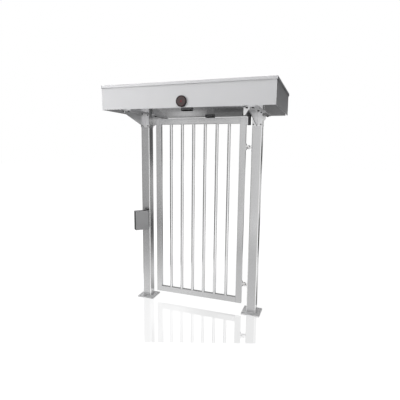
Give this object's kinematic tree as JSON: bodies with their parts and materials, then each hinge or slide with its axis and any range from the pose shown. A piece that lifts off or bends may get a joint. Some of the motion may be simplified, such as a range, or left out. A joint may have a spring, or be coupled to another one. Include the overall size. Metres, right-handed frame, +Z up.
{
  "type": "full-height swing gate",
  "caption": "Full-height motorised swing gate leaf between square posts under an overhead drive canopy, with presence sensors, indicator and card reader.",
  "frame": {"origin": "on the floor, midway between the posts, in the plane of the closed leaf", "axes": "+X along the canopy towards the hinged post, +Y to the rear, +Z up"},
  "size_m": [1.768, 1.04, 2.4028],
  "materials": {
    "stainless_post": "brushed along the post",
    "stainless_plate": "satin plate",
    "stainless_leaf": "brushed along each tube",
    "canopy_sheet": "fine satin sheet",
    "frame_steel": "grey primer",
    "machined_steel": "turned or hobbed",
    "bearing_steel": "ground",
    "bush_bronze": "oiled sintered bronze",
    "black_oxide": "black oxide",
    "dark_fastener": "blackened steel",
    "cast_housing": "cast and machined",
    "motor_paint": "dark enamel",
    "solenoid_steel": "zinc plated",
    "controller_case": "moulded",
    "supply_case": "folded sheet",
    "buffer_rubber": "moulded",
    "black_plastic": "moulded",
    "dark_lens": "smoked",
    "sensor_window": "infrared-pass",
    "board_green": "solder mask",
    "reader_grey": "fine texture",
    "reader_face": "fine texture"
  },
  "bodies": {
    "frame": {"bearing_housing": "cast_housing", "canopy_front_fascia": "canopy_sheet", "canopy_left_end": "canopy_sheet", "canopy_lid": "canopy_sheet", "canopy_pan": "canopy_sheet", "canopy_rear_fascia": "canopy_sheet", "canopy_right_end": "canopy_sheet", "canopy_screws": "dark_fastener", "counter_controller": "controller_case", "cross_members": "frame_steel", "drive_beams": "frame_steel", "drive_plate": "frame_steel", "drive_screws": "dark_fastener", "frame_bolts": "dark_fastener", "front_left_bracket": "stainless_plate", "front_right_bracket": "stainless_plate", "front_sensor": "black_plastic", "gearbox": "cast_housing", "hinge_pins": "machined_steel", "indicator_board": "board_green", "indicator_housing": "black_plastic", "indicator_lens": "dark_lens", "left_base_plate": "stainless_plate", "left_post": "stainless_post", "lock_solenoid": "solenoid_steel", "motor": "motor_paint", "post_lugs": "stainless_plate", "post_screws": "dark_fastener", "power_supply": "supply_case", "reader_board": "board_green", "reader_box": "reader_grey", "reader_bracket": "stainless_plate", "reader_cover": "reader_face", "rear_left_bracket": "stainless_plate", "rear_right_bracket": "stainless_plate", "rear_sensor": "black_plastic", "right_base_plate": "stainless_plate", "right_post": "stainless_post", "sensor_windows": "sensor_window", "shaft_bearings": "bearing_steel", "stop_buffers": "buffer_rubber", "stop_plates": "stainless_plate"},
    "leaf": {"left_stile": "stainless_leaf", "right_stile": "stainless_leaf", "top_rail": "stainless_leaf", "bottom_rail": "stainless_leaf", "leaf_bars": "stainless_leaf", "stile_caps": "stainless_leaf", "leaf_lugs": "stainless_plate", "hinge_bushes": "bush_bronze", "leaf_screws": "dark_fastener", "drive_saddle": "stainless_plate", "drive_spigot": "black_oxide", "coupling_hub": "black_oxide", "output_shaft": "machined_steel", "driven_gear": "machined_steel", "lock_disc": "machined_steel"},
    "pinion": {"pinion": "machined_steel"},
    "lock": {"lock_plunger": "machined_steel"}
  },
  "joints": [
    {"name": "leaf_swing", "type": "hinge", "parent": "frame", "child": "leaf", "pos_m": [0.545, 0, 0], "axis": [0, 0, 1], "range_deg": [-90, 90]},
    {"name": "pinion_spin", "type": "hinge", "parent": "frame", "child": "pinion", "pos_m": [0.43675, 0, 0], "axis": [0, 0, 1], "range_deg": [-272, 272]},
    {"name": "lock_slide", "type": "slide", "parent": "frame", "child": "lock", "axis": [1, 0, 0], "range_m": [0, 0.011], "stiffness_N_per_m": 300, "springref_m": -0.01}
  ],
  "couplings": [
    {"joint": "pinion_spin", "follows": "leaf_swing", "ratio": -3}
  ]
}
